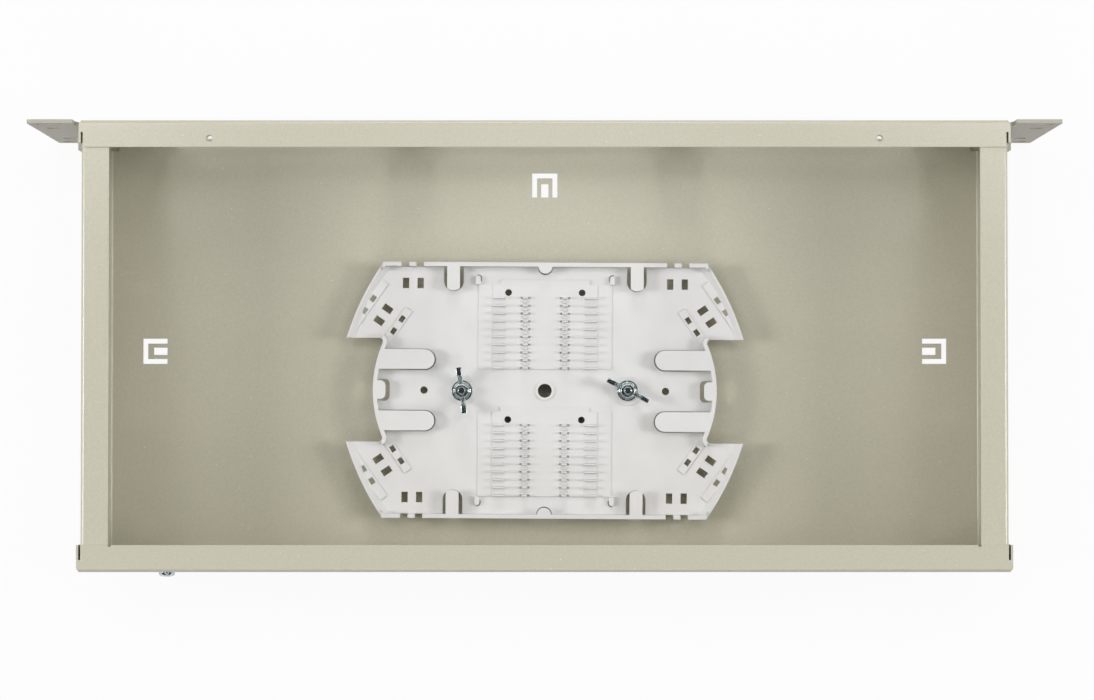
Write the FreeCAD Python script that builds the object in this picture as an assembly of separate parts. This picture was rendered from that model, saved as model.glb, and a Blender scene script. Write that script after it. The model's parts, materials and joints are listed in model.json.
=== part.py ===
import FreeCAD, Part
import math
import os

# Two-unit rack-mount fibre patch panel, lid off: folded sheet chassis with a moulded splice tray.
# Millimetres. The origin is the centre of the rack bolt pattern, on the plane where the ears meet
# the rails. X runs along the panel, the front faces -Y and Z is up.

# Rack standard and overall size
rack_width = 482.6
rack_bolt_inset = 8.75
rack_slot_rows = 76.2
rack_hole_rows = 44.45
panel_height = 88.0
ear_reach = 25.45
body_depth = 210.35

# Folded sheet
sheet = 1.0
bend_inner_radius = 1.0
corner_bend_radius = 1.6
flange_depth = 12.6
front_tab_depth = 10.6
rear_tab_depth = 12.6
side_return = 13.0
front_tab_gap = 0.1
rear_tab_gap = 0.65
tab_slit = 1.0
seam_clearance = 0.2
corner_web = 5.7
corner_relief_width = 4.5
corner_relief_length = 3.0
flange_notch_width = 1.6
flange_notch_depth = 0.8

# Rack ears
ear_sheet = 1.8
ear_proud = 0.3
ear_bend_radius = 1.2
ear_leg_height = 68.0
ear_leg_depth = 13.0
ear_corner_radius = 1.2
ear_slot_length = 11.2
ear_slot_width = 7.0
ear_hole_diameter = 6.2

# Openings for adapter plates in the front panel
plate_columns = 3
plate_rows = 2
plate_opening_width = 108.0
plate_opening_height = 30.0
plate_post_width = 24.0
plate_bar_height = 14.45
plate_opening_radius = 2.0
plate_hole_inset = 4.75
plate_hole_diameter = 4.2

# Lid screw holes in the front flange
lid_hole_inset = 59.85
lid_hole_setback = 8.55
lid_hole_diameter = 2.5
lid_hole_mouth = 3.1
lid_collar_diameter = 4.6
lid_collar_height = 1.6

# Tie loops cut in the floor and holes in the side walls
loop_width = 12.5
loop_length = 12.0
loop_slot = 2.45
loop_tip_bar = 2.85
loop_side_bar = 2.0
loop_side_inset = 22.85
loop_front_setback = 22.85
side_hole_diameter = 3.6
side_hole_spacing = 62.6
side_hole_height = 14.0

# Rear cable entries and earth connection
cable_entry_inset = 22.85
cable_entry_height = 28.0
cable_entry_diameter = 20.0
grommet_bore_diameter = 14.0
grommet_lip_diameter = 25.0
grommet_lip = 1.2
earth_inset = 35.85
earth_height = 53.0

# Machine screws and nuts
screw_diameter = 4.0
screw_head_diameter = 8.0
screw_tip_chamfer = 0.5
screw_hole_diameter = 4.5
thread_clearance = 0.05
ear_screw_spacing = 40.0
ear_screw_setback = 6.8
ear_screw_length = 5.0
ear_screw_head = 2.2
press_nut_diameter = 7.6
press_nut_height = 1.5
earth_screw_length = 9.5
earth_screw_head = 3.1
earth_nut_flats = 7.0
earth_nut_height = 3.2
earth_washer_diameter = 8.4
earth_washer_thickness = 0.6

# Splice tray
tray_setback = 124.9
tray_turn_degrees = -0.35
tray_lift = 9.0
tray_length = 195.0
tray_width = 125.4
tray_middle_length = 168.4
tray_end_radius = 58.0
tray_straight = 159.2
tray_floor = 1.6
tray_wall = 2.0
tray_wall_height = 8.0
wing_edge_offset = 25.5
wing_bulge = 1.55
wing_fillet = 2.0
tray_centre_hole = 6.8
centre_boss_diameter = 9.6
tray_pin_hole = 3.6
tray_pin_spacing = 118.8

# Tie holes, bars and rims on the tray
tie_hole_width = 3.1
tie_hole_length = 5.1
tie_hole_inset = 10.05
tie_notch_width = 3.7
tie_outer_offset = 68.6
tie_pitch = 7.2
wing_tie_x = 79.6
wing_tie_y = 36.9
wing_tie_degrees = 35.0
wing_tie_row_pitch = 8.7
wing_tie_outer_size = (2.4, 3.2)
wing_tie_middle_size = (5.0, 3.2)
wing_tie_inner_size = (2.4, 3.2)
wing_bar_width = 4.0
wing_bar_height = 0.8
wing_bar_outer_end = 13.8
wing_bar_inner_end = 9.5
wing_rim_height = 2.6
wing_rim_width = 0.8
wing_ramp_width = 4.2

# Retaining fingers and their moulding openings
finger_thickness = 1.2
finger_offset = 45.0
finger_width = 6.3
finger_opening_width = 9.6
finger_reach = 13.9
middle_tab_radius = 3.4
tongue_offset = 15.05
tongue_width = 9.7
tongue_end_offset = 54.0
end_tab_width = 9.0
end_tab_reach = 4.2
end_opening_gap = 1.7
end_tab_corner = 2.4
mould_gap = 0.35
peg_offset = 33.0
peg_root = 52.2
peg_end = 56.4
peg_width = 2.4
peg_height = 2.0
peg_slit = 0.6
peg_slit_root = 53.9

# Splice sleeve holders
holder_width = 65.6
holder_plate = 1.0
holder_strip = 0.5
holder_body_width = 51.6
holder_header_width = 43.6
holder_shoulder = 2.2
holder_length = 44.0
holder_front_start = -54.5
holder_rear_start = 8.0
holder_hole_diameter = 3.3
holder_hole_spacing = 36.2
holder_hole_setback = 6.3
fin_rows = 10
fin_pitch = 3.83
fin_first_row = 9.0
fin_height = 3.2
fin_base = 1.2
fin_tip = 0.7
fin_spans = ((8.5, 10.9), (19.6, 25.4))
vent_offsets = (7.8, 11.6)
vent_size = 1.0
bump_offset = 9.7
bump_size = 2.0
bump_height = 1.2

# Studs, spacers, washers and wing nuts
stud_spacing = 81.3
stud_protrusion = 2.0
spacer_diameter = 8.0
tray_stud_hole = 4.8
boss_diameter = 14.2
boss_height = 0.8
washer_diameter = 10.2
washer_hole = 4.6
washer_thickness = 1.0
hub_base_diameter = 9.0
hub_top_diameter = 7.4
hub_height = 5.6
wing_span = 22.8
wing_height = 10.5
wing_thickness = 1.7
wing_pad_thickness = 2.7
wing_pad_length = 4.1
wing_nut_left_degrees = 152.5
wing_nut_right_degrees = 97.5

# Levels and planes worked out from the sizes above
half_height = panel_height / 2
body_width = rack_width - 2 * ear_reach
rack_bolt_spacing = rack_width - 2 * rack_bolt_inset
plate_pitch = plate_opening_width + plate_post_width
plate_row_pitch = plate_opening_height + plate_bar_height
lid_hole_x = body_width / 2 - lid_hole_inset
loop_side_x = body_width / 2 - loop_side_inset
cable_entry_x = body_width / 2 - cable_entry_inset
earth_x = body_width / 2 - earth_inset
face_y = ear_proud - ear_sheet
rear_y = face_y + body_depth
inner_front_y = face_y + sheet
inner_rear_y = rear_y - sheet
middle_y = face_y + body_depth / 2
base_bottom = -half_height + sheet
floor_top = base_bottom + sheet
return_top = half_height - sheet
bend_outer_radius = bend_inner_radius + sheet
base_front_y = inner_front_y + corner_bend_radius + seam_clearance
base_rear_y = inner_rear_y - corner_bend_radius - seam_clearance
front_tab_face = body_width / 2 + front_tab_gap + sheet
side_inner = body_width / 2 - sheet
ear_screw_y = face_y + ear_screw_setback
tray_y = face_y + tray_setback
tray_bottom = floor_top + tray_lift
tray_floor_top = tray_bottom + tray_floor
tray_wall_top = tray_bottom + tray_wall_height
boss_top = tray_floor_top + boss_height
washer_top = boss_top + washer_thickness
stud_top = washer_top + hub_height + stud_protrusion
earth_z = -half_height + earth_height
cable_entry_z = -half_height + cable_entry_height


def vector(x, y, z=0.0):
    return FreeCAD.Vector(x, y, z)


def box(x_range, y_range, z_range):
    size = [end - start for start, end in (x_range, y_range, z_range)]
    return Part.makeBox(*size, vector(x_range[0], y_range[0], z_range[0]))


def cylinder(diameter, start, end):
    """Cylinder between the centres of its two end faces."""
    direction = end - start
    return Part.makeCylinder(diameter / 2, direction.Length, start, direction)


def rounded_face(corners, place):
    """Face from (a, b, radius) corners, with place turning a and b into a point in space."""
    edges = []
    joints = []
    for index, (a, b, radius) in enumerate(corners):
        corner = place(a, b)
        before = place(*corners[index - 1][:2]) - corner
        after = place(*corners[(index + 1) % len(corners)][:2]) - corner
        if radius == 0:
            joints.append((corner, corner))
            continue
        before.normalize()
        after.normalize()
        half_angle = before.getAngle(after) / 2
        reach = radius / math.tan(half_angle)
        bisector = before + after
        bisector.normalize()
        middle = corner + bisector * (radius / math.sin(half_angle) - radius)
        start = corner + before * reach
        end = corner + after * reach
        edges.append(Part.Arc(start, middle, end).toShape())
        joints.append((start, end))
    for index, (start, end) in enumerate(joints):
        previous_end = joints[index - 1][1]
        if previous_end.distanceToPoint(start) > 1e-6:
            edges.append(Part.makeLine(previous_end, start))
    return Part.Face(Part.Wire(Part.sortEdges(edges)[0]))


def flat(a, b):
    return vector(a, b)


def rectangle(width, length, radius=0.0):
    a, b = width / 2, length / 2
    return rounded_face([(-a, -b, radius), (a, -b, radius), (a, b, radius), (-a, b, radius)], flat)


def disc(diameter):
    return Part.Face(Part.Wire(Part.makeCircle(diameter / 2)))


def moved(shape, x, y, z=0.0, degrees=0.0):
    copy = shape.copy()
    copy.rotate(vector(0, 0), vector(0, 0, 1), degrees)
    copy.translate(vector(x, y, z))
    return copy


def upright(face, bottom, top):
    """Solid from a flat face, standing between two levels."""
    return moved(face, 0, 0, bottom).extrude(vector(0, 0, top - bottom))


def joined(first, others):
    return first.fuse(others).removeSplitter()


def export(name, shape):
    shape.exportStep(os.path.join("parts", name + ".step"))


# Chassis

def tie_loop(x, y, degrees):
    """Cut round a flat loop for a cable tie, with its root on the +Y side before it is turned."""
    tongue_width = loop_width - 2 * loop_slot
    window_width = tongue_width - 2 * loop_side_bar
    tongue_length = loop_length - loop_slot
    window_length = tongue_length - loop_tip_bar
    tongue = moved(rectangle(tongue_width, tongue_length), 0, loop_slot / 2)
    window = moved(rectangle(window_width, window_length), 0, (loop_length - window_length) / 2)
    cut = rectangle(loop_width, loop_length).cut(tongue).fuse(window)
    return upright(moved(cut, x, y, 0, degrees), base_bottom - sheet, floor_top + sheet)


def chassis_base():
    side = body_width / 2
    tip = side - side_return
    outer, inner = bend_outer_radius, bend_inner_radius
    under_return = return_top - sheet
    profile = [
        (-tip, return_top, 0), (-side, return_top, outer), (-side, base_bottom, outer),
        (side, base_bottom, outer), (side, return_top, outer), (tip, return_top, 0),
        (tip, under_return, 0), (side_inner, under_return, inner), (side_inner, floor_top, inner),
        (-side_inner, floor_top, inner), (-side_inner, under_return, inner), (-tip, under_return, 0),
    ]
    section = rounded_face(profile, lambda a, b: vector(a, base_front_y, b))
    channel = section.extrude(vector(0, base_rear_y - base_front_y, 0))
    side_hole_z = floor_top + side_hole_height
    cuts = [tie_loop(0, face_y + loop_front_setback, 0)]
    for hand in (-1, 1):
        cuts.append(tie_loop(hand * loop_side_x, middle_y, 90 * hand))
        across = (hand * (side_inner - sheet), hand * (side + sheet))
        for y in (middle_y - side_hole_spacing / 2, middle_y + side_hole_spacing / 2):
            start, end = (vector(x, y, side_hole_z) for x in across)
            cuts.append(cylinder(side_hole_diameter, start, end))
        for z in (-ear_screw_spacing / 2, ear_screw_spacing / 2):
            start, end = (vector(x, ear_screw_y, z) for x in across)
            cuts.append(cylinder(screw_hole_diameter, start, end))
        relief_x = sorted((hand * (side - corner_relief_width), hand * (side + sheet)))
        relief_z = (base_bottom - sheet, floor_top + bend_inner_radius)
        cuts.append(box(relief_x, (inner_front_y, base_front_y + corner_relief_length), relief_z))
        cuts.append(box(relief_x, (base_rear_y - corner_relief_length, inner_rear_y), relief_z))
    return channel.cut(cuts)


def end_pan(tab_gap, tab_depth):
    """Pan that caps one end of the chassis, with its outer face on Y = 0 and facing -Y."""
    tab_inner = body_width / 2 + tab_gap
    tab_outer = tab_inner + sheet
    outer, inner = bend_outer_radius, bend_inner_radius
    flange_profile = [
        (flange_depth, half_height, 0), (0, half_height, outer), (0, -half_height, outer),
        (flange_depth, -half_height, 0), (flange_depth, sheet - half_height, 0),
        (sheet, sheet - half_height, inner), (sheet, half_height - sheet, inner),
        (flange_depth, half_height - sheet, 0),
    ]
    section = rounded_face(flange_profile, lambda a, b: vector(-tab_inner, a, b))
    pan = section.extrude(vector(2 * tab_inner, 0, 0))
    corner_outer_radius = corner_bend_radius + sheet
    wall_overlap = tab_inner - 2 * corner_outer_radius
    tabs = []
    for hand in (-1, 1):
        tab_profile = [
            (hand * wall_overlap, 0, 0), (hand * tab_outer, 0, corner_outer_radius),
            (hand * tab_outer, tab_depth, 0), (hand * tab_inner, tab_depth, 0),
            (hand * tab_inner, sheet, corner_bend_radius), (hand * wall_overlap, sheet, 0),
        ]
        tabs.append(upright(rounded_face(tab_profile, flat), -half_height, half_height))
    outside = [
        (flange_depth, half_height, 0), (0, half_height, outer),
        (0, -half_height, outer), (flange_depth, -half_height, 0),
    ]
    envelope = rounded_face(outside, lambda a, b: vector(-tab_outer, a, b))
    envelope = envelope.extrude(vector(2 * tab_outer, 0, 0))
    pan = pan.fuse(tabs).common(envelope).removeSplitter()
    slit_y = (corner_web, flange_depth + sheet)
    slit_z = (-half_height - sheet, half_height + sheet)
    slits = []
    for hand in (-1, 1):
        slit_x = sorted((hand * (tab_inner - tab_slit), hand * tab_inner))
        slits.append(box(slit_x, slit_y, slit_z))
    return pan.cut(slits)


def plate_openings():
    """Cuts for the adapter plates: a window and two fixing holes each."""
    window = rounded_face(
        [(a * plate_opening_width / 2, b * plate_opening_height / 2, plate_opening_radius)
         for a, b in ((-1, -1), (1, -1), (1, 1), (-1, 1))],
        lambda a, b: vector(a, -sheet, b))
    window = window.extrude(vector(0, 3 * sheet, 0))
    cuts = []
    for column in range(plate_columns):
        x = (column - (plate_columns - 1) / 2) * plate_pitch
        for row in range(plate_rows):
            z = (row - (plate_rows - 1) / 2) * plate_row_pitch
            cuts.append(moved(window, x, 0, z))
            for hand in (-1, 1):
                hole_x = x + hand * (plate_opening_width / 2 + plate_hole_inset)
                start, end = (vector(hole_x, y, z) for y in (-sheet, 2 * sheet))
                cuts.append(cylinder(plate_hole_diameter, start, end))
    return cuts


def front_panel():
    pan = end_pan(front_tab_gap, front_tab_depth)
    cuts = plate_openings()
    collars = []
    under_flange = half_height - sheet
    for hand in (-1, 1):
        x = hand * lid_hole_x
        collar_bottom = under_flange - lid_collar_height
        collars.append(cylinder(lid_collar_diameter, vector(x, lid_hole_setback, collar_bottom),
                                vector(x, lid_hole_setback, under_flange)))
        above = vector(x, lid_hole_setback, half_height + sheet)
        cuts.append(cylinder(lid_hole_diameter, vector(x, lid_hole_setback, collar_bottom - sheet), above))
        cuts.append(cylinder(lid_hole_mouth, vector(x, lid_hole_setback, under_flange), above))
        for z in (-ear_screw_spacing / 2, ear_screw_spacing / 2):
            start = vector(hand * body_width / 2, ear_screw_y - face_y, z)
            end = vector(hand * (front_tab_face + sheet), ear_screw_y - face_y, z)
            cuts.append(cylinder(screw_hole_diameter, start, end))
    return moved(joined(pan, collars).cut(cuts), 0, face_y)


def rear_panel():
    pan = moved(end_pan(rear_tab_gap, rear_tab_depth), 0, rear_y, 0, 180)
    across = (inner_rear_y - sheet, rear_y + sheet)
    cuts = [cylinder(screw_hole_diameter, vector(earth_x, across[0], earth_z),
                     vector(earth_x, across[1], earth_z))]
    notch_z = (half_height - 2 * sheet, half_height + sheet)
    flange_edge = rear_y - flange_depth
    for hand in (-1, 1):
        x = hand * cable_entry_x
        cuts.append(cylinder(cable_entry_diameter, vector(x, across[0], cable_entry_z),
                             vector(x, across[1], cable_entry_z)))
        notch_side = body_width / 2 - side_return
        notch_x = sorted((hand * (notch_side - flange_notch_width), hand * notch_side))
        cuts.append(box(notch_x, (flange_edge - sheet, flange_edge + flange_notch_depth), notch_z))
    return pan.cut(cuts)


def rack_ear(hand):
    """L bracket for the left (-1) or right (1) end, with its plate against the rails at Y = 0."""
    edge = rack_width / 2
    leg_inner = front_tab_face
    leg_outer = leg_inner + ear_sheet
    outer_bend = ear_bend_radius + ear_sheet
    leg_end = face_y + ear_leg_depth
    folded = rounded_face(
        [(hand * edge, -ear_sheet, 0), (hand * leg_inner, -ear_sheet, outer_bend),
         (hand * leg_inner, leg_end, 0), (hand * leg_outer, leg_end, 0),
         (hand * leg_outer, 0, ear_bend_radius), (hand * edge, 0, 0)], flat)
    bracket = upright(folded, -ear_leg_height / 2, ear_leg_height / 2)
    plate_inner = leg_inner + outer_bend
    plate = rounded_face(
        [(hand * plate_inner, -half_height, 0), (hand * edge, -half_height, ear_corner_radius),
         (hand * edge, half_height, ear_corner_radius), (hand * plate_inner, half_height, 0)],
        lambda a, b: vector(a, -ear_sheet, b)).extrude(vector(0, ear_sheet, 0))
    corner_trim = plate.fuse(box(sorted((0, hand * plate_inner)), (-body_depth, body_depth),
                                 (-panel_height, panel_height)))
    behind_plate = box(sorted((0, hand * edge)), (0, body_depth), (-panel_height, panel_height))
    corner_trim = corner_trim.fuse(behind_plate)
    ear = bracket.common(corner_trim).fuse(plate).removeSplitter()
    bolt_x = hand * rack_bolt_spacing / 2
    half_slot = (ear_slot_length - ear_slot_width) / 2
    cuts = []
    for z in (-rack_slot_rows / 2, rack_slot_rows / 2):
        ends = [cylinder(ear_slot_width, vector(x, -2 * ear_sheet, z), vector(x, ear_sheet, z))
                for x in (bolt_x - half_slot, bolt_x + half_slot)]
        middle = box((bolt_x - half_slot, bolt_x + half_slot), (-2 * ear_sheet, ear_sheet),
                     (z - ear_slot_width / 2, z + ear_slot_width / 2))
        cuts.append(middle.fuse(ends))
    for z in (-rack_hole_rows / 2, rack_hole_rows / 2):
        start, end = (vector(bolt_x, y, z) for y in (-2 * ear_sheet, ear_sheet))
        cuts.append(cylinder(ear_hole_diameter, start, end))
    for z in (-ear_screw_spacing / 2, ear_screw_spacing / 2):
        start = vector(hand * (leg_inner - sheet), ear_screw_y, z)
        end = vector(hand * (leg_outer + sheet), ear_screw_y, z)
        cuts.append(cylinder(screw_hole_diameter, start, end))
    return ear.cut(cuts)


# Machine screws, nuts and washers

def pan_head_screw(length, head_height):
    """Screw along Z with its head's seat at Z = 0 and its tip down."""
    head, shank = screw_head_diameter / 2, screw_diameter / 2
    rim = 0.45 * head_height
    profile = [(0, head_height), (0.55 * head, head_height), (head, rim), (head, 0), (shank, 0),
               (shank, screw_tip_chamfer - length), (shank - screw_tip_chamfer, -length), (0, -length)]
    face = rounded_face([(a, b, 0) for a, b in profile], lambda a, b: vector(a, 0, b))
    return face.revolve(vector(0, 0), vector(0, 0, 1), 360)


def hexagon_nut():
    """Nut along Z with its bearing face at Z = 0 and its body above."""
    reach = earth_nut_flats / math.sqrt(3)
    angles = [math.radians(60 * index) for index in range(6)]
    corners = [(reach * math.cos(angle), reach * math.sin(angle), 0) for angle in angles]
    hexagon = rounded_face(corners, flat).cut(disc(screw_diameter + 2 * thread_clearance))
    return upright(hexagon, 0, earth_nut_height)


def turned_to(shape, direction, position):
    """Copy with its +Z turned to a direction and its origin moved to a position."""
    copy = shape.copy()
    copy.Placement = FreeCAD.Placement(position, FreeCAD.Rotation(vector(0, 0, 1), direction))
    return copy


def ring(outer_diameter, inner_diameter, bottom, top):
    face = disc(outer_diameter).cut(disc(inner_diameter))
    return upright(face, bottom, top)


def ear_fasteners():
    """Screws through the ears' legs, and the flat press nuts inside the chassis walls."""
    screw = pan_head_screw(ear_screw_length, ear_screw_head)
    nut = ring(press_nut_diameter, screw_diameter + 2 * thread_clearance, 0, press_nut_height)
    screws, nuts = [], []
    for hand in (-1, 1):
        seat_x = hand * (front_tab_face + ear_sheet)
        for z in (-ear_screw_spacing / 2, ear_screw_spacing / 2):
            screws.append(turned_to(screw, vector(hand, 0), vector(seat_x, ear_screw_y, z)))
            nuts.append(turned_to(nut, vector(-hand, 0), vector(hand * side_inner, ear_screw_y, z)))
    return Part.makeCompound(screws), Part.makeCompound(nuts)


def cable_grommet(hand):
    """Rubber ring whose groove takes the edge of the rear wall."""
    lip, groove, bore = (d / 2 for d in (grommet_lip_diameter, cable_entry_diameter, grommet_bore_diameter))
    inside, outside = -sheet - grommet_lip, grommet_lip
    profile = [(bore, inside), (lip, inside), (lip, -sheet), (groove, -sheet), (groove, 0), (lip, 0),
               (lip, outside), (bore, outside)]
    face = rounded_face([(a, b, 0) for a, b in profile], lambda a, b: vector(a, 0, b))
    body = face.revolve(vector(0, 0), vector(0, 0, 1), 360)
    return turned_to(body, vector(0, 1), vector(hand * cable_entry_x, rear_y, cable_entry_z))


# Splice tray, drawn about its own centre and set down on its studs

def mirrored_four(shape):
    """A shape and its mirror images across both centre lines."""
    pair = [shape, shape.mirror(vector(0, 0), vector(1, 0))]
    return pair + [item.mirror(vector(0, 0), vector(0, 1)) for item in pair]


def wing_arc():
    """Outer edge of one wing, from the straight side to the wing's tip."""
    corner = vector(tray_straight / 2, tray_width / 2)
    wing_tip = vector(tray_length / 2, wing_edge_offset)
    chord = wing_tip - corner
    outward = vector(-chord.y, chord.x)
    outward.normalize()
    return Part.Arc(corner, corner + chord * 0.5 + outward * wing_bulge, wing_tip).toShape()


def tray_outline():
    """Outer face of the tray: straight sides, four wings and two arc ends."""
    half_width = tray_width / 2
    corner = vector(tray_straight / 2, half_width)
    wing_tip = vector(tray_length / 2, wing_edge_offset)
    arc_centre = vector(tray_middle_length / 2 - tray_end_radius, 0)
    fillet_y = wing_edge_offset - wing_fillet
    fillet_reach = tray_end_radius + wing_fillet
    fillet_centre = arc_centre + vector(math.sqrt(fillet_reach ** 2 - fillet_y ** 2), fillet_y)
    fillet_start = vector(fillet_centre.x, wing_edge_offset)
    towards_arc = arc_centre - fillet_centre
    towards_arc.normalize()
    fillet_end = fillet_centre + towards_arc * wing_fillet
    fillet_middle = vector(0, 1) + towards_arc
    fillet_middle.normalize()
    end_middle = vector(tray_middle_length / 2, 0)
    half_sweep = math.asin(fillet_end.y / tray_end_radius) / 2
    arc_point = arc_centre + vector(math.cos(half_sweep), math.sin(half_sweep)) * tray_end_radius
    quarter = [
        Part.makeLine(vector(0, half_width), corner),
        wing_arc(),
        Part.makeLine(wing_tip, fillet_start),
        Part.Arc(fillet_start, fillet_centre + fillet_middle * wing_fillet, fillet_end).toShape(),
        Part.Arc(fillet_end, arc_point, end_middle).toShape(),
    ]
    edges = [edge for source in quarter for edge in mirrored_four(source)]
    return Part.Face(Part.Wire(Part.sortEdges(edges)[0]))


def finger(width, root, end):
    """Strip along Y from root to end, with a round end."""
    centre = end - math.copysign(width / 2, end - root)
    strip = moved(rectangle(width, abs(centre - root)), 0, (centre + root) / 2)
    return strip.fuse(moved(disc(width), 0, centre)).removeSplitter()


def wing_frame(face):
    """Place a face drawn about the wing's tie holes, with its X along the row of holes."""
    return moved(face, wing_tie_x, wing_tie_y, 0, 180 + wing_tie_degrees)


def tray_floor_cuts():
    """Faces of every opening through the tray's floor, for one quarter and for the centre lines."""
    half_width = tray_width / 2
    cuts = []
    for index in range(2):
        x = tie_outer_offset - index * tie_pitch
        cuts.append(moved(rectangle(tie_hole_width, tie_hole_length), x, half_width - tie_hole_inset))
    rows = zip((-wing_tie_row_pitch, 0, wing_tie_row_pitch),
               (wing_tie_outer_size, wing_tie_middle_size, wing_tie_inner_size))
    for along, (width, length) in rows:
        for across in (-tie_pitch / 2, tie_pitch / 2):
            cuts.append(wing_frame(moved(rectangle(width, length), along, across)))
    opening = finger(finger_opening_width, half_width - tray_wall, half_width - finger_reach)
    cuts.append(moved(opening, finger_offset, 0))
    cuts.append(peg_crescent())
    end_x = tray_middle_length / 2 - tray_wall
    tongue = finger(tongue_width + 2 * mould_gap, -end_x, -tongue_end_offset + mould_gap)
    cuts.append(moved(tongue, 0, tongue_offset, 0, 90).common(tray_outline().makeOffset2D(-tray_wall)))
    cuts = [copy for cut in cuts for copy in mirrored_four(cut)]
    inside_walls = rectangle(tray_length, tray_width - 2 * tray_wall)
    for hand in (-1, 1):
        middle_opening = moved(disc(2 * (middle_tab_radius + mould_gap)), 0, hand * (half_width - tray_wall))
        cuts.append(middle_opening.common(inside_walls))
        reach, width = (size + end_opening_gap for size in (end_tab_reach, end_tab_width))
        cuts.append(end_opening(hand, end_x, reach, width))
        cuts.append(moved(disc(tray_stud_hole), hand * stud_spacing / 2, 0))
        cuts.append(moved(disc(tray_pin_hole), hand * tray_pin_spacing / 2, 0))
        for start in (holder_front_start, holder_rear_start):
            x, y = hand * holder_hole_spacing / 2, start + holder_hole_setback
            cuts.append(moved(disc(holder_hole_diameter), x, y))
    cuts.append(disc(tray_centre_hole))
    return cuts


def peg_crescent():
    """Slit that curls round the inner side and the end of a peg."""
    slit = finger(peg_width + 2 * peg_slit, peg_root, peg_end + peg_slit)
    slit = slit.cut(finger(peg_width, peg_root, peg_end))
    inner_side = -peg_width / 2 - peg_slit
    corners = [(inner_side, peg_slit_root), (peg_width / 4, peg_slit_root),
               (peg_width / 4, peg_end + peg_slit), (inner_side, peg_end + peg_slit)]
    return moved(slit.common(rounded_face([(a, b, 0) for a, b in corners], flat)), peg_offset, 0)


def end_opening(hand, wall_x, reach, width):
    """D-shaped face at one arc end, from the wall inwards."""
    inner_x = wall_x - reach
    corners = [(hand * inner_x, -width / 2, end_tab_corner), (hand * inner_x, width / 2, end_tab_corner),
               (hand * wall_x, width / 2, 0), (hand * wall_x, -width / 2, 0)]
    return rounded_face(corners, flat).common(tray_outline().makeOffset2D(-tray_wall))


def tray_fingers():
    """Faces of the retaining fingers that reach in from the top of the wall."""
    half_width = tray_width / 2
    inside = half_width - tray_wall / 2
    strip = finger(finger_opening_width, inside, half_width - finger_reach)
    quarter = [moved(strip.common(rectangle(finger_width, tray_width)), finger_offset, 0)]
    tongue = finger(tongue_width, -tray_middle_length / 2, -tongue_end_offset)
    quarter.append(moved(tongue, 0, tongue_offset, 0, 90).common(tray_outline()))
    faces = [copy for face in quarter for copy in mirrored_four(face)]
    for hand in (-1, 1):
        middle_tab = moved(disc(2 * middle_tab_radius), 0, hand * (half_width - tray_wall))
        faces.append(middle_tab.common(rectangle(tray_length, tray_width)))
        faces.append(end_opening(hand, tray_middle_length / 2, end_tab_reach + tray_wall, end_tab_width))
    return faces


def wing_bars():
    """Low bars along the inner and outer tie holes of one wing, up to the tray's end."""
    quarter = moved(rectangle(tray_length, tray_width), tray_length / 2, tray_width / 2)
    ends = ((-wing_tie_row_pitch, wing_bar_outer_end), (wing_tie_row_pitch, wing_bar_inner_end))
    bars = []
    for along, end in ends:
        bar = wing_frame(moved(rectangle(wing_bar_width, tray_length / 2), along, tray_length / 4 - end))
        bar = bar.common(tray_outline()).common(quarter)
        bars.append(upright(bar, tray_floor_top, tray_floor_top + wing_bar_height))
    return bars


def wing_rim():
    """Low rim along the edge of one wing, with a ramp up to it from the floor."""
    curve = wing_arc().Curve
    top = tray_floor_top + wing_rim_height
    profile = [(curve.Radius, tray_floor_top), (curve.Radius, top), (curve.Radius - wing_rim_width, top),
               (curve.Radius - wing_ramp_width, tray_floor_top)]
    section = rounded_face([(a, b, 0) for a, b in profile], lambda a, b: vector(a, 0, b))
    sweep = moved(section.revolve(vector(0, 0), vector(0, 0, 1), 90), curve.Center.x, curve.Center.y)
    return sweep.common(upright(tray_outline(), tray_floor_top, tray_wall_top))


def tray_place(shape):
    return moved(shape, 0, tray_y, 0, tray_turn_degrees)


def splice_tray():
    outline = tray_outline()
    inner = outline.makeOffset2D(-tray_wall)
    tray = upright(outline, tray_bottom, tray_wall_top).cut(upright(inner, tray_floor_top, tray_wall_top + 1))
    wing_mouth = box((tray_straight / 2, tray_length / 2 + 1), (wing_edge_offset, tray_width / 2 + 1),
                     (tray_floor_top, tray_wall_top + 1))
    tray = tray.cut(mirrored_four(wing_mouth))
    added = [copy for solid in wing_bars() + [wing_rim()] for copy in mirrored_four(solid)]
    peg = moved(finger(peg_width, peg_root, peg_end), peg_offset, 0)
    added += mirrored_four(upright(peg, tray_floor_top, tray_floor_top + peg_height))
    added.append(ring(centre_boss_diameter, tray_centre_hole, tray_floor_top, boss_top))
    for hand in (-1, 1):
        boss = ring(boss_diameter, tray_stud_hole, tray_floor_top, boss_top)
        added.append(moved(boss, hand * stud_spacing / 2, 0))
    cuts = [upright(face, tray_bottom - 1, tray_floor_top + 1) for face in tray_floor_cuts()]
    for index in range(2):
        x = tie_outer_offset - index * tie_pitch
        notch = moved(rectangle(tie_notch_width, 2 * tray_wall), x, tray_width / 2)
        cuts += mirrored_four(upright(notch, tray_bottom - 1, tray_wall_top + 1))
    fingers = [upright(face, tray_wall_top - finger_thickness, tray_wall_top) for face in tray_fingers()]
    return tray_place(joined(joined(tray, added).cut(cuts), fingers))


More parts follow.
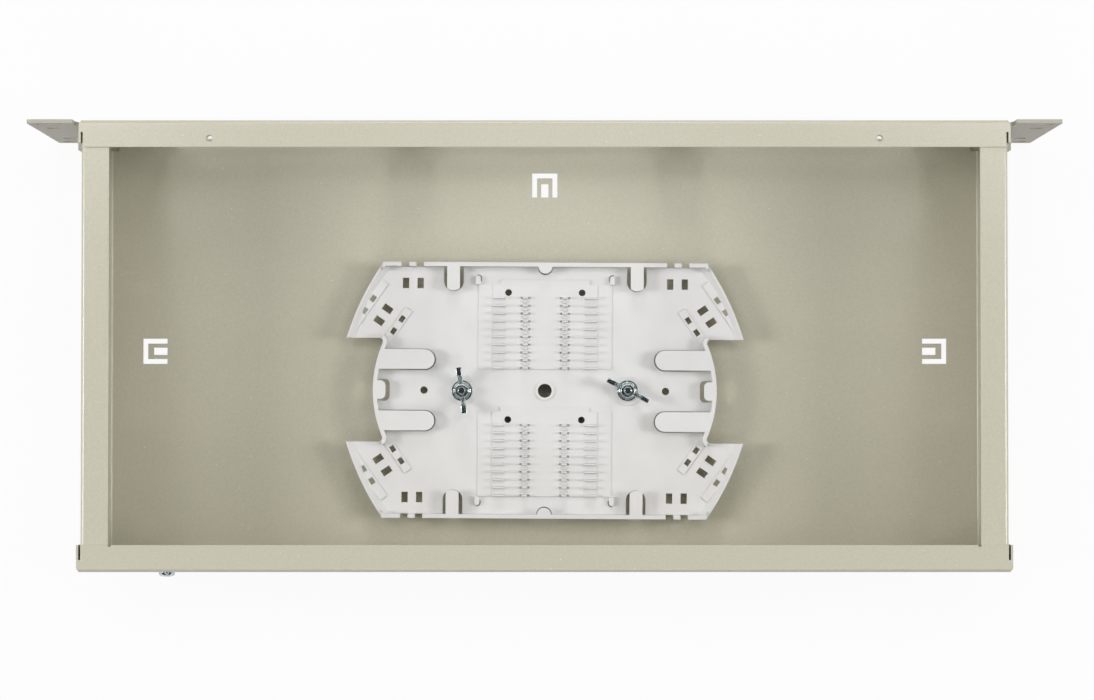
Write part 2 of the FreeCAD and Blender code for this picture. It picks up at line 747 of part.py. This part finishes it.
def sleeve_holder(start):
    """Comb insert that starts at a distance along Y from the tray's centre."""
    end = start + holder_length
    shoulder = start + holder_shoulder
    bottom, strip_top, top = (tray_floor_top + level for level in (0, holder_strip, holder_plate))
    header = moved(rectangle(holder_header_width, holder_length), 0, (start + end) / 2)
    body = moved(rectangle(holder_body_width, end - shoulder), 0, (shoulder + end) / 2)
    strips = moved(rectangle(holder_width, end - shoulder), 0, (shoulder + end) / 2)
    rows = [start + fin_first_row + index * fin_pitch for index in range(fin_rows)]
    holes = [moved(disc(holder_hole_diameter), hand * holder_hole_spacing / 2, start + holder_hole_setback)
             for hand in (-1, 1)]
    vents = [moved(rectangle(vent_size, vent_size), hand * offset, y)
             for y in rows for offset in vent_offsets for hand in (-1, 1)]
    plate = upright(header.fuse(body).removeSplitter(), bottom, top).fuse(upright(strips, bottom, strip_top))
    holder = plate.cut([upright(face, bottom - 1, top + 1) for face in holes + vents])
    fin_top = top + fin_height
    fin_profile = [(-fin_base / 2, strip_top), (-fin_tip / 2, fin_top), (fin_tip / 2, fin_top),
                   (fin_base / 2, strip_top)]
    fins = []
    for y in rows:
        for near, far in fin_spans:
            section = rounded_face([(y + a, b, 0) for a, b in fin_profile], lambda a, b: vector(near, a, b))
            fin = section.extrude(vector(far - near, 0, 0))
            fins += [fin, fin.mirror(vector(0, 0), vector(1, 0))]
    bump = upright(rectangle(bump_size, bump_size / 2), strip_top, top + bump_height)
    bumps = [moved(bump, hand * bump_offset, y + fin_pitch / 2) for y in rows[:-1] for hand in (-1, 1)]
    return tray_place(joined(holder, fins + bumps))


# Studs and wing nuts

def tray_stud(hand):
    radius = screw_diameter / 2
    profile = [(0, floor_top), (radius, floor_top), (radius, stud_top - screw_tip_chamfer),
               (radius - screw_tip_chamfer, stud_top), (0, stud_top)]
    face = rounded_face([(a, b, 0) for a, b in profile], lambda a, b: vector(a, 0, b))
    body = face.revolve(vector(0, 0), vector(0, 0, 1), 360)
    return moved(body, hand * stud_spacing / 2, tray_y)


def wing_nut(hand, degrees):
    """Cone hub with two wings that sweep up to thick ends."""
    base, top = hub_base_diameter / 2, hub_top_diameter / 2
    bore = screw_diameter / 2 + thread_clearance
    hub_profile = [(bore, 0), (base, 0), (base, 0.2 * hub_height), (top, hub_height), (bore, hub_height)]
    hub = rounded_face([(a, b, 0) for a, b in hub_profile], lambda a, b: vector(a, 0, b))
    hub = hub.revolve(vector(0, 0), vector(0, 0, 1), 360)
    reach = wing_span / 2
    root = (bore + top) / 2
    low = vector(root, 0, 0.15 * hub_height)
    tip_low = vector(reach, 0, 0.66 * wing_height)
    tip_high = vector(reach - 0.35 * wing_pad_length, 0, wing_height)
    high = vector(root, 0, 0.95 * hub_height)
    edges = [
        Part.Arc(low, vector(0.68 * reach, 0, 0.28 * wing_height), tip_low).toShape(),
        Part.Arc(tip_low, vector(reach, 0, 0.9 * wing_height), tip_high).toShape(),
        Part.Arc(tip_high, vector(0.6 * reach, 0, 0.76 * wing_height), high).toShape(),
        Part.makeLine(high, low),
    ]
    blade = Part.Face(Part.Wire(edges))

    def thickened(thickness):
        return blade.extrude(vector(0, thickness, 0)).translated(vector(0, -thickness / 2, 0))

    pad_zone = box((reach - wing_pad_length, reach + 1), (-reach, reach), (-1, wing_height + 1))
    wing = thickened(wing_thickness).fuse(thickened(wing_pad_thickness).common(pad_zone))
    opening = cylinder(2 * bore, vector(0, 0, -1), vector(0, 0, wing_height + 1))
    nut = joined(hub, [wing, wing.mirror(vector(0, 0), vector(1, 0))]).cut(opening)
    return moved(nut, hand * stud_spacing / 2, tray_y, washer_top, degrees)


os.makedirs("parts", exist_ok=True)

export("chassis_base", chassis_base())
export("front_panel", front_panel())
export("rear_panel", rear_panel())
ear_screws, ear_nuts = ear_fasteners()
export("ear_screws", ear_screws)
export("ear_nuts", ear_nuts)

earth_seat = rear_y + earth_washer_thickness
earth_screw = pan_head_screw(earth_screw_length, earth_screw_head)
export("earth_screw", turned_to(earth_screw, vector(0, 1), vector(earth_x, earth_seat, earth_z)))
earth_washer = ring(earth_washer_diameter, screw_hole_diameter, 0, earth_washer_thickness)
export("earth_washer", turned_to(earth_washer, vector(0, 1), vector(earth_x, rear_y, earth_z)))
export("earth_nut", turned_to(hexagon_nut(), vector(0, -1), vector(earth_x, inner_rear_y, earth_z)))

export("splice_tray", splice_tray())
export("sleeve_holder_front", sleeve_holder(holder_front_start))
export("sleeve_holder_rear", sleeve_holder(holder_rear_start))

for side, hand, nut_degrees in (("left", -1, wing_nut_left_degrees), ("right", 1, wing_nut_right_degrees)):
    stud_x = hand * stud_spacing / 2
    spacer = ring(spacer_diameter, tray_stud_hole, floor_top, tray_bottom)
    washer = ring(washer_diameter, washer_hole, boss_top, washer_top)
    export("rack_ear_" + side, rack_ear(hand))
    export("cable_grommet_" + side, cable_grommet(hand))
    export("tray_stud_" + side, tray_stud(hand))
    export("tray_spacer_" + side, moved(spacer, stud_x, tray_y))
    export("tray_washer_" + side, moved(washer, stud_x, tray_y))
    export("wing_nut_" + side, wing_nut(hand, nut_degrees))
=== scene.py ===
"""Looks for the open rack-mount fibre patch panel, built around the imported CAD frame.

Lengths are in metres, apart from the wing nut's own sizes, which are in millimetres.
"""
import json
import math

import bmesh
import bpy
from mathutils import Matrix, Vector


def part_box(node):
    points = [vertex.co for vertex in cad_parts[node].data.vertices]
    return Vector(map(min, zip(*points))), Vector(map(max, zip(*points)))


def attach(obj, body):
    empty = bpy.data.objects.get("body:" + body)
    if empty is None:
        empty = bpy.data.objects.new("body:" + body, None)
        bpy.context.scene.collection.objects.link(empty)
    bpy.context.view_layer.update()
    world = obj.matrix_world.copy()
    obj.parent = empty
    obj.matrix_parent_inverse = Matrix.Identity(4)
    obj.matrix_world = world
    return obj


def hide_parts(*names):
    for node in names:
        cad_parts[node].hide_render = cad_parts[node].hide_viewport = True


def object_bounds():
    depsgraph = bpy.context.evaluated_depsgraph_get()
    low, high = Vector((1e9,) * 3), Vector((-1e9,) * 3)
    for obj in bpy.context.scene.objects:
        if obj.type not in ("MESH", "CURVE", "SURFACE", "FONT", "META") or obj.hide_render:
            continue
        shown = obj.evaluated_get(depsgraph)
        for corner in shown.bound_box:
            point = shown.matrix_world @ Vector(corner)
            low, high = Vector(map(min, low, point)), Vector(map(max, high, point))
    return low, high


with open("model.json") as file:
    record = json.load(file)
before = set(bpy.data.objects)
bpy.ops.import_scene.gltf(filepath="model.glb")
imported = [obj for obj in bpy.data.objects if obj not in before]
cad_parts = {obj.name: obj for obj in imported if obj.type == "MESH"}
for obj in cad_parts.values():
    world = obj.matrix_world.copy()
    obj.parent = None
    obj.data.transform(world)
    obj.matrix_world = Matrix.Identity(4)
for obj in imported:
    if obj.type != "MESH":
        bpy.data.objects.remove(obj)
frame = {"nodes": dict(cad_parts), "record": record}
cad_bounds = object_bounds()
nodes = frame["nodes"]

# Camera: above the case and looking almost straight down, with the front edge at the top
PHOTO_WIDTH = 1094
PHOTO_HEIGHT = 700
PRINCIPAL_X = 548
PRINCIPAL_Y = 377
FOCAL_PIXELS = 2777
SENSOR_MM = 36.0
CAMERA_X = -0.0016
CAMERA_Y = 0.14525
CAMERA_ABOVE_RIM = 1.290
CAMERA_LEAN = math.radians(1.2)
CLIP_START = 0.01

# Colours, as linear values
WHITE = (1, 1, 1, 1)
COAT_COLOUR = (0.60, 0.574, 0.464, 1)
COAT_DARK = (0.545, 0.521, 0.42, 1)
# Colour of the bright specks: painted glints, light catching the coat's orange peel painted into
# the coat
COAT_GLINT = (0.80, 0.78, 0.68, 1)
# The ears' coat is the beige coat painted darker and greyer: painted shade on the ears' rear faces
EAR_PAINTED_SHADE_COLOUR = (0.47, 0.45, 0.38, 1)
EAR_PAINTED_SHADE_DARK = (0.43, 0.41, 0.345, 1)
TRAY_COLOUR = (0.75, 0.745, 0.735, 1)
TRAY_SHADE = (0.715, 0.71, 0.70, 1)
ZINC_COLOUR = (0.62, 0.68, 0.70, 1)
ZINC_DULL = (0.42, 0.48, 0.50, 1)
RUBBER_COLOUR = (0.018, 0.018, 0.019, 1)
RUBBER_GREY = (0.035, 0.035, 0.036, 1)
FLOOR_COLOUR = (0.8, 0.8, 0.8, 1)

# Finishes
COAT_ROUGHNESS = 0.12
EAR_ROUGHNESS = 0.45
COAT_ROUGHNESS_SPREAD = 0.08
COAT_IOR = 1.55
TRAY_IOR = 1.5
# Cells with a random value above this get a painted glint speck
GLINT_CHOICE = 0.92
EDGE_SAMPLES = 4

# Stage: how far the floor reaches, how high the walls at its edges are, and how white they show
STAGE_REACH = 6.0
STAGE_WALL = 2.5
FLOOR_GLOW = 0.92
WORLD_STRENGTH = 0.03

# Softboxes round the case, each as its place, its side and its watts; the one overhead is weak
SOFTBOX_TARGET = (0, 0.1, 0)
SOFTBOXES = {
    "front": ((0, -1.5, 1.0), 0.6, 7.3),
    "rear": ((0, 1.1, 1.35), 0.5, 2.6),
    "right": ((-1.5, 0.1, 1.35), 0.5, 8.5),
    "left": ((1.5, 0.1, 1.35), 0.5, 8.5),
    "right_low": ((-1.6, 0.1, 1.0), 0.6, 7.4),
    "left_low": ((1.6, 0.1, 1.0), 0.6, 8.2),
    "front_right": ((-0.5, -0.4, 1.35), 0.5, 3.1),
    "front_left": ((0.5, -0.4, 1.35), 0.5, 3.1),
    "rear_right": ((-0.5, 0.6, 1.35), 0.5, 0.9),
    "rear_left": ((0.5, 0.6, 1.35), 0.5, 0.9),
    "overhead": ((0, -0.2, 1.6), 0.35, 0.5),
}

# Machine screws and studs
SCREW_RADIUS = 0.002
SCREW_SEGMENTS = 28
THREAD_PITCH = 0.0007
THREAD_DEPTH = 0.00035
RINGS_PER_PITCH = 6
SCREW_TIP = 0.0005
HEAD_RADIUS = 0.004
HEAD_CHAMFER = 0.0002
HEAD_RIM_SHARE = 0.45
HEAD_FLAT_SHARE = 0.55
HEAD_STEPS = 6
CROSS_ARM = 0.0017
CROSS_WIDTH = 0.0004
CROSS_DEPTH = 0.0011
CROSS_BASE_ARM_SHARE = 0.6
CROSS_BASE_WIDTH_SHARE = 0.75
EAR_SCREW_HEAD = 0.0022
EARTH_SCREW_HEAD = 0.0031
SHARP_ANGLE = math.radians(18)

# Wing nut in millimetres: its hub's profile as (radius, height) from the bore, and each wing's
# lower and upper edge from the hub out
MILLIMETRE = 0.001
NUT_HUB = (
    (2.15, 0.0), (4.3, 0.0), (4.48, 0.15), (4.48, 0.75), (4.35, 0.95), (3.95, 1.0), (3.78, 1.2),
    (3.68, 1.8), (3.55, 4.7), (3.45, 5.2), (3.2, 5.5), (2.95, 5.55), (2.35, 5.55), (2.15, 5.2),
)
HUB_SEGMENTS = 64
WING_LOWER = (
    (2.7, 1.3), (5.0, 1.75), (6.9, 2.7), (7.3, 3.0), (9.3, 4.3), (10.9, 6.2), (11.3, 7.4),
)
WING_UPPER = (
    (2.7, 4.9), (4.3, 5.9), (6.9, 8.6), (7.3, 10.4), (9.1, 10.45), (11.0, 10.45), (11.3, 10.45),
)
WING_HALF_THICKNESS = (1.3, 1.15, 1.05, 1.3, 1.35, 1.35, 1.25)
WING_SEGMENTS = 24
# The power that shapes a wing's section: 1 is an ellipse, and 0 a box
WING_SQUARENESS = 0.18
# The gap that is closed at the seams between hub and wings
MERGE_DISTANCE = 0.002


class Shader:
    """A node tree being built, with short ways to add and link nodes."""

    def __init__(self, tree):
        self.tree = tree
        tree.nodes.clear()

    def add(self, kind, inputs=None, **settings):
        node = self.tree.nodes.new(kind)
        for name, value in settings.items():
            setattr(node, name, value)
        for socket, value in (inputs or {}).items():
            if isinstance(value, bpy.types.NodeSocket):
                self.tree.links.new(value, node.inputs[socket])
            else:
                node.inputs[socket].default_value = value
        return node

    def place(self):
        return self.add("ShaderNodeTexCoord").outputs["Object"]

    def noise(self, scale, detail=2.0, roughness=0.5):
        inputs = {"Vector": self.place(), "Scale": scale, "Detail": detail, "Roughness": roughness}
        return self.add("ShaderNodeTexNoise", inputs).outputs["Fac"]

    def math(self, operation, first, second):
        inputs = {0: first, 1: second}
        return self.add("ShaderNodeMath", inputs, operation=operation).outputs["Value"]

    def ramp(self, factor, stops):
        """Colour ramp from (position, colour) stops."""
        node = self.add("ShaderNodeValToRGB", {"Fac": factor})
        elements = node.color_ramp.elements
        while len(elements) < len(stops):
            elements.new(0.5)
        for element, (position, colour) in zip(elements, stops):
            element.position = position
            element.color = colour
        return node.outputs["Color"]

    def span(self, factor, low, high, start=0.0, end=1.0):
        """Map a factor between start and end to a range."""
        inputs = {
            "Value": factor, "From Min": start, "From Max": end, "To Min": low, "To Max": high,
        }
        return self.add("ShaderNodeMapRange", inputs).outputs["Result"]

    def blend(self, factor, first, second):
        node = self.add("ShaderNodeMix", {0: factor, 6: first, 7: second}, data_type="RGBA")
        return node.outputs[2]

    def rounded(self, radius):
        """Normals that soften hard edges."""
        node = self.add("ShaderNodeBevel", {"Radius": radius}, samples=EDGE_SAMPLES)
        return node.outputs["Normal"]

    def bump(self, height, distance, strength, normal):
        inputs = {"Height": height, "Distance": distance, "Strength": strength, "Normal": normal}
        return self.add("ShaderNodeBump", inputs).outputs["Normal"]

    def surface(self, **inputs):
        names = {key.replace("_", " "): value for key, value in inputs.items()}
        self.output(self.add("ShaderNodeBsdfPrincipled", names).outputs["BSDF"])

    def output(self, shader):
        self.add("ShaderNodeOutputMaterial", {"Surface": shader})


def new_material(name):
    material = bpy.data.materials.new(name)
    material.use_nodes = True
    return material, Shader(material.node_tree)


def powder_coat(name, bright, dark, roughness):
    """Powder coat with a fine shagreen texture and a few bright specks that are painted glints."""
    material, shader = new_material(name)
    grain = shader.noise(scale=1200.0, detail=2.0, roughness=0.6)
    # Painted glints: a few cells become bright specks of colour in place of light catching the
    # coat
    cells = shader.add("ShaderNodeTexVoronoi", {"Vector": shader.place(), "Scale": 700.0})
    glint_spot = shader.span(cells.outputs["Distance"], low=1.0, high=0.0, start=0.1, end=0.25)
    glint_chosen = shader.math("GREATER_THAN", cells.outputs["Color"], GLINT_CHOICE)
    painted_glint = shader.math("MULTIPLY", glint_spot, glint_chosen)
    plain = shader.ramp(grain, [(0.3, dark), (0.7, bright)])
    edges = shader.rounded(radius=0.00025)
    shader.surface(
        Base_Color=shader.blend(painted_glint, plain, COAT_GLINT),
        Roughness=shader.span(grain, low=roughness, high=roughness + COAT_ROUGHNESS_SPREAD),
        IOR=COAT_IOR,
        Normal=shader.bump(grain, distance=0.0001, strength=0.5, normal=edges),
    )
    return material


def white_moulding():
    """Satin white moulded plastic with a slight ripple."""
    material, shader = new_material("white_moulding")
    ripple = shader.noise(scale=60.0)
    grain = shader.noise(scale=1500.0, detail=1.0)
    edges = shader.rounded(radius=0.0002)
    shader.surface(
        Base_Color=shader.ramp(ripple, [(0.3, TRAY_SHADE), (0.7, TRAY_COLOUR)]),
        Roughness=shader.span(ripple, low=0.34, high=0.44),
        IOR=TRAY_IOR,
        Normal=shader.bump(grain, distance=0.00002, strength=0.3, normal=edges),
    )
    return material


def bright_zinc():
    """Bright zinc plate, a little uneven."""
    material, shader = new_material("bright_zinc")
    mottle = shader.noise(scale=700.0, detail=3.0)
    edges = shader.rounded(radius=0.0003)
    shader.surface(
        Base_Color=shader.ramp(mottle, [(0.35, ZINC_DULL), (0.65, ZINC_COLOUR)]),
        Metallic=1.0,
        Roughness=shader.span(mottle, low=0.06, high=0.18),
        Normal=shader.bump(mottle, distance=0.00002, strength=0.1, normal=edges),
    )
    return material


def black_rubber():
    """Matt black rubber with a dusty bloom."""
    material, shader = new_material("black_rubber")
    bloom = shader.noise(scale=400.0, detail=3.0)
    edges = shader.rounded(radius=0.0003)
    shader.surface(
        Base_Color=shader.ramp(bloom, [(0.35, RUBBER_COLOUR), (0.7, RUBBER_GREY)]),
        Roughness=shader.span(bloom, low=0.55, high=0.75),
        Normal=shader.bump(bloom, distance=0.00003, strength=0.4, normal=edges),
    )
    return material


slot_materials = {
    "coated_sheet": powder_coat("powder_coat", COAT_COLOUR, COAT_DARK, COAT_ROUGHNESS),
    "white_moulding": white_moulding(),
    "zinc_steel": bright_zinc(),
    "grommet_rubber": black_rubber(),
}
# Ears get the darker, greyer coat as painted shade on their rear faces
ear_painted_shade_coat = powder_coat("ear_painted_shade_coat", EAR_PAINTED_SHADE_COLOUR, EAR_PAINTED_SHADE_DARK, EAR_ROUGHNESS)
node_slots = {part["node"]: part["material_slot"] for part in frame["record"]["subparts"]}
for name, node in nodes.items():
    material = ear_painted_shade_coat if name.startswith("rack_ear") else slot_materials[node_slots[name]]
    node.data.materials.clear()
    node.data.materials.append(material)


def lathe_rings(mesh, rings, segments):
    """Skin a stack of rings, each a function of the angle that gives (radius, height)."""
    stack = []
    for ring in rings:
        loop = []
        for step in range(segments):
            angle = 2 * math.pi * step / segments
            radius, height = ring(angle)
            point = (radius * math.cos(angle), radius * math.sin(angle), height)
            loop.append(mesh.verts.new(point))
        stack.append(loop)
    for low, high in zip(stack, stack[1:]):
        for step in range(segments):
            after = (step + 1) % segments
            mesh.faces.new((low[step], low[after], high[after], high[step]))
    return stack


def thread_rings(bottom, top, pointed_up):
    """Rings of a V thread between two heights, with a chamfer at its point."""
    steps = round((top - bottom) / THREAD_PITCH * RINGS_PER_PITCH)

    def ring_at(height):
        from_point = top - height if pointed_up else height - bottom

        def ring(angle):
            phase = (height / THREAD_PITCH - angle / (2 * math.pi)) % 1.0
            radius = SCREW_RADIUS - THREAD_DEPTH * abs(2 * phase - 1)
            return min(radius, SCREW_RADIUS - SCREW_TIP + from_point), height

        return ring

    return [ring_at(bottom + (top - bottom) * step / steps) for step in range(steps + 1)]


def finished_piece(mesh, name, body, node, slot):
    """Turn a built mesh into a piece that stands for a CAD node."""
    bmesh.ops.recalc_face_normals(mesh, faces=mesh.faces)
    data = bpy.data.meshes.new(name)
    mesh.to_mesh(data)
    mesh.free()
    data.polygons.foreach_set("use_smooth", [True] * len(data.polygons))
    data.set_sharp_from_angle(angle=SHARP_ANGLE)
    data.materials.append(slot_materials[slot])
    piece = bpy.data.objects.new(name, data)
    bpy.context.scene.collection.objects.link(piece)
    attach(piece, body)
    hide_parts(node)


def threaded_stud(side):
    """Threaded stud in place of the plain CAD one."""
    node = "tray_stud_" + side
    low, high = (Vector(corner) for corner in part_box(node))
    mesh = bmesh.new()
    stack = lathe_rings(mesh, thread_rings(low.z, high.z, pointed_up=True), SCREW_SEGMENTS)
    mesh.faces.new(stack[0][::-1])
    mesh.faces.new(stack[-1])
    middle = (low + high) / 2
    bmesh.ops.translate(mesh, verts=mesh.verts, vec=(middle.x, middle.y, 0))
    finished_piece(mesh, "stud_thread_" + side, "case", node, "zinc_steel")


def cross_outline(arm, width, height):
    """Corners of a plus sign, anticlockwise."""
    corner = [(arm, -width), (arm, width), (width, width)]
    points = []
    for quarter in range(4):
        turn = Matrix.Rotation(quarter * math.pi / 2, 3, "Z")
        points += [turn @ Vector((x, y, height)) for x, y in corner]
    return points


def head_profile(head_height):
    """Outline of a pan head as (radius, height), from its seat to the edge of its flat top."""
    rim = HEAD_RIM_SHARE * head_height
    flat = HEAD_FLAT_SHARE * HEAD_RADIUS
    profile = [
        (HEAD_RADIUS - HEAD_CHAMFER, 0.0), (HEAD_RADIUS, HEAD_CHAMFER), (HEAD_RADIUS, rim),
    ]
    for step in range(1, HEAD_STEPS + 1):
        angle = step * math.pi / (2 * HEAD_STEPS)
        radius = flat + (HEAD_RADIUS - flat) * math.cos(angle)
        profile.append((radius, rim + (head_height - rim) * math.sin(angle)))
    return profile


def add_pan_head_screw(mesh, seat, outward, head_height, length):
    """Pan head screw with a cross recess, its head's seat at a point and its head outward."""
    built = bmesh.new()
    rings = thread_rings(-length, 0.0, pointed_up=False)
    rings += [lambda angle, place=place: place for place in head_profile(head_height)]
    stack = lathe_rings(built, rings, SCREW_SEGMENTS)
    built.faces.new(stack[0][::-1])
    mouth_outline = cross_outline(CROSS_ARM, CROSS_WIDTH, head_height)
    base_outline = cross_outline(
        CROSS_BASE_ARM_SHARE * CROSS_ARM,
        CROSS_BASE_WIDTH_SHARE * CROSS_WIDTH,
        head_height - CROSS_DEPTH,
    )
    mouth = [built.verts.new(point) for point in mouth_outline]
    base = [built.verts.new(point) for point in base_outline]
    count = len(mouth)
    top = stack[-1]
    rim_edges = [built.edges.get((top[step - 1], top[step])) for step in range(len(top))]
    mouth_edges = [built.edges.new((mouth[step - 1], mouth[step])) for step in range(count)]
    bmesh.ops.triangle_fill(built, edges=rim_edges + mouth_edges, use_beauty=True)
    for step in range(count):
        built.faces.new((mouth[step - 1], mouth[step], base[step], base[step - 1]))
    built.faces.new(base)
    turn = Vector(outward).to_track_quat("Z", "Y").to_matrix().to_4x4()
    built.transform(Matrix.Translation(seat) @ turn)
    copy = bpy.data.meshes.new("screw")
    built.to_mesh(copy)
    built.free()
    mesh.from_mesh(copy)
    bpy.data.meshes.remove(copy)


def corner_boxes(node, splits):
    """Boxes of a node's separate solids, told apart by the signs of the axes named in splits."""
    groups = {}
    for vertex in nodes[node].data.vertices:
        key = tuple(vertex.co[axis] > 0 for axis in splits)
        groups.setdefault(key, []).append(vertex.co)
    boxes = []
    for points in groups.values():
        low = Vector([min(point[axis] for point in points) for axis in range(3)])
        high = Vector([max(point[axis] for point in points) for axis in range(3)])
        boxes.append((low, high))
    return boxes


def recessed_screws():
    """Cross-recess screws in place of the plain CAD ones."""
    ears = bmesh.new()
    for low, high in corner_boxes("ear_screws", (0, 2)):
        middle = (low + high) / 2
        side = math.copysign(1, middle.x)
        outer = high.x if side > 0 else low.x
        seat = (outer - side * EAR_SCREW_HEAD, middle.y, middle.z)
        length = high.x - low.x - EAR_SCREW_HEAD
        add_pan_head_screw(ears, seat, (side, 0, 0), EAR_SCREW_HEAD, length)
    finished_piece(ears, "ear_screw_detail", "case", "ear_screws", "zinc_steel")
    earth = bmesh.new()
    low, high = (Vector(corner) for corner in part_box("earth_screw"))
    middle = (low + high) / 2
    seat = (middle.x, high.y - EARTH_SCREW_HEAD, middle.z)
    length = high.y - low.y - EARTH_SCREW_HEAD
    add_pan_head_screw(earth, seat, (0, 1, 0), EARTH_SCREW_HEAD, length)
    finished_piece(earth, "earth_screw_detail", "case", "earth_screw", "zinc_steel")


def skinned(loops, closed):
    """Mesh skinned over loops of points, either closed on itself or capped at both ends."""
    mesh = bmesh.new()
    rows = [[mesh.verts.new(point) for point in loop] for loop in loops]
    pairs = list(zip(rows, rows[1:]))
    if closed:
        pairs.append((rows[-1], rows[0]))
    else:
        mesh.faces.new(rows[0][::-1])
        mesh.faces.new(rows[-1])
    for one, other in pairs:
        for step in range(len(one)):
            mesh.faces.new((one[step - 1], one[step], other[step], other[step - 1]))
    bmesh.ops.recalc_face_normals(mesh, faces=mesh.faces)
    return mesh


def nut_hub():
    """Turned hub with a skirt and rounded shoulders, in millimetres."""
    angles = [2 * math.pi * step / HUB_SEGMENTS for step in range(HUB_SEGMENTS)]
    loops = [[(r * math.cos(a), r * math.sin(a), z) for a in angles] for r, z in NUT_HUB]
    return skinned(loops, closed=True)


def nut_wing(hand):
    """Cast wing with rounded edges and a thick end, in millimetres."""
    loops = []
    for low, high, half in zip(WING_LOWER, WING_UPPER, WING_HALF_THICKNESS):
        low = Vector((hand * low[0], 0, low[1]))
        high = Vector((hand * high[0], 0, high[1]))
        loop = []
        for step in range(WING_SEGMENTS):
            angle = 2 * math.pi * step / WING_SEGMENTS
            along, across = (
                math.copysign(abs(value) ** WING_SQUARENESS, value)
                for value in (math.cos(angle), math.sin(angle))
            )
            offset = (high - low) / 2 * along
            loop.append((low + high) / 2 + offset + Vector((0, half * across, 0)))
        loops.append(loop)
    return skinned(loops, closed=False)


def joined_mesh(meshes):
    """One mesh from several that overlap."""
    pieces = []
    for mesh in meshes:
        data = bpy.data.meshes.new("nut_piece")
        mesh.to_mesh(data)
        mesh.free()
        pieces.append(bpy.data.objects.new("nut_piece", data))
        bpy.context.scene.collection.objects.link(pieces[-1])
    for piece in pieces[1:]:
        union = pieces[0].modifiers.new("union", "BOOLEAN")
        union.operation = "UNION"
        union.object = piece
    result = bmesh.new()
    result.from_object(pieces[0], bpy.context.evaluated_depsgraph_get())
    for piece in pieces:
        bpy.data.meshes.remove(piece.data)
    bmesh.ops.remove_doubles(result, verts=result.verts, dist=MERGE_DISTANCE)
    return result


def plan_direction(node, middle):
    """Angle of a node's long axis seen from above."""
    points = [vertex.co - middle for vertex in nodes[node].data.vertices]
    spread_x = sum(point.x ** 2 for point in points)
    spread_y = sum(point.y ** 2 for point in points)
    slant = sum(point.x * point.y for point in points)
    return 0.5 * math.atan2(2 * slant, spread_x - spread_y)


def cast_wing_nut(side):
    """Cast wing nut in place of the plain CAD one."""
    node = "wing_nut_" + side
    low, high = (Vector(corner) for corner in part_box(node))
    middle = (low + high) / 2
    turn = Matrix.Rotation(plan_direction(node, middle), 4, "Z")
    seat = Matrix.Translation((middle.x, middle.y, low.z))
    mesh = joined_mesh([nut_hub(), nut_wing(1), nut_wing(-1)])
    mesh.transform(seat @ turn @ Matrix.Scale(MILLIMETRE, 4))
    finished_piece(mesh, "wing_nut_cast_" + side, "nut_" + side, node, "zinc_steel")


for side in ("left", "right"):
    threaded_stud(side)
    cast_wing_nut(side)
recessed_screws()


def seen_directly(shader):
    """1 for camera, mirror and see-through rays, 0 for the light that falls on the object."""
    path = shader.add("ShaderNodeLightPath")
    mirror = shader.math("MAXIMUM", path.outputs["Is Camera Ray"], path.outputs["Is Glossy Ray"])
    return shader.math("MAXIMUM", mirror, path.outputs["Is Transmission Ray"])


def make_stage():
    """Pale floor and far walls that show white; the floor keeps a soft shadow."""
    lowest = cad_bounds[0][2]
    plan = [(x * STAGE_REACH, y * STAGE_REACH) for x, y in ((-1, -1), (1, -1), (1, 1), (-1, 1))]
    corners = [(x, y, z) for z in (lowest, lowest + STAGE_WALL) for x, y in plan]
    walls = [(step, (step + 1) % 4, (step + 1) % 4 + 4, step + 4) for step in range(4)]
    mesh = bpy.data.meshes.new("studio_floor")
    mesh.from_pydata(corners, [], [(0, 1, 2, 3)] + walls)
    floor = bpy.data.objects.new("studio_floor", mesh)
    bpy.context.scene.collection.objects.link(floor)
    material, shader = new_material("studio_floor")
    diffuse = shader.add("ShaderNodeBsdfDiffuse", {"Color": FLOOR_COLOUR}).outputs["BSDF"]
    glow = shader.add("ShaderNodeEmission", {"Color": WHITE, "Strength": 1.0}).outputs["Emission"]
    share = shader.math("MULTIPLY", seen_directly(shader), FLOOR_GLOW)
    mixed = shader.add("ShaderNodeMixShader", {"Fac": share, 1: diffuse, 2: glow})
    shader.output(mixed.outputs["Shader"])
    mesh.materials.append(material)


def make_world():
    """Dim room above the stage."""
    world = bpy.data.worlds.new("studio")
    bpy.context.scene.world = world
    world.use_nodes = True
    shader = Shader(world.node_tree)
    background = shader.add("ShaderNodeBackground", {"Color": WHITE, "Strength": WORLD_STRENGTH})
    shader.add("ShaderNodeOutputWorld", {"Surface": background.outputs["Background"]})


def make_softbox(name, place, side, watts):
    """Square lamp that faces the case."""
    light = bpy.data.lights.new(name, "AREA")
    light.size = side
    light.energy = watts
    lamp = bpy.data.objects.new(name, light)
    lamp.location = place
    aim = Vector(SOFTBOX_TARGET) - Vector(place)
    lamp.rotation_euler = aim.to_track_quat("-Z", "Y").to_euler()
    bpy.context.scene.collection.objects.link(lamp)


def make_camera():
    """Camera that frames the case as the photograph does."""
    camera = bpy.data.cameras.new("camera")
    camera.sensor_width = SENSOR_MM
    camera.lens = FOCAL_PIXELS * SENSOR_MM / PHOTO_WIDTH
    camera.shift_x = (PHOTO_WIDTH / 2 - PRINCIPAL_X) / PHOTO_WIDTH
    camera.shift_y = (PRINCIPAL_Y - PHOTO_HEIGHT / 2) / PHOTO_WIDTH
    camera.clip_start = CLIP_START
    rig = bpy.data.objects.new("camera", camera)
    rim = cad_bounds[1][2]
    rig.location = (CAMERA_X, CAMERA_Y, rim + CAMERA_ABOVE_RIM)
    rig.rotation_euler = (CAMERA_LEAN, 0, math.pi)
    bpy.context.scene.collection.objects.link(rig)
    bpy.context.scene.camera = rig


make_stage()
make_world()
for name, (place, side, watts) in SOFTBOXES.items():
    make_softbox(name, place, side, watts)
make_camera()
bpy.context.scene.view_settings.view_transform = "Standard"
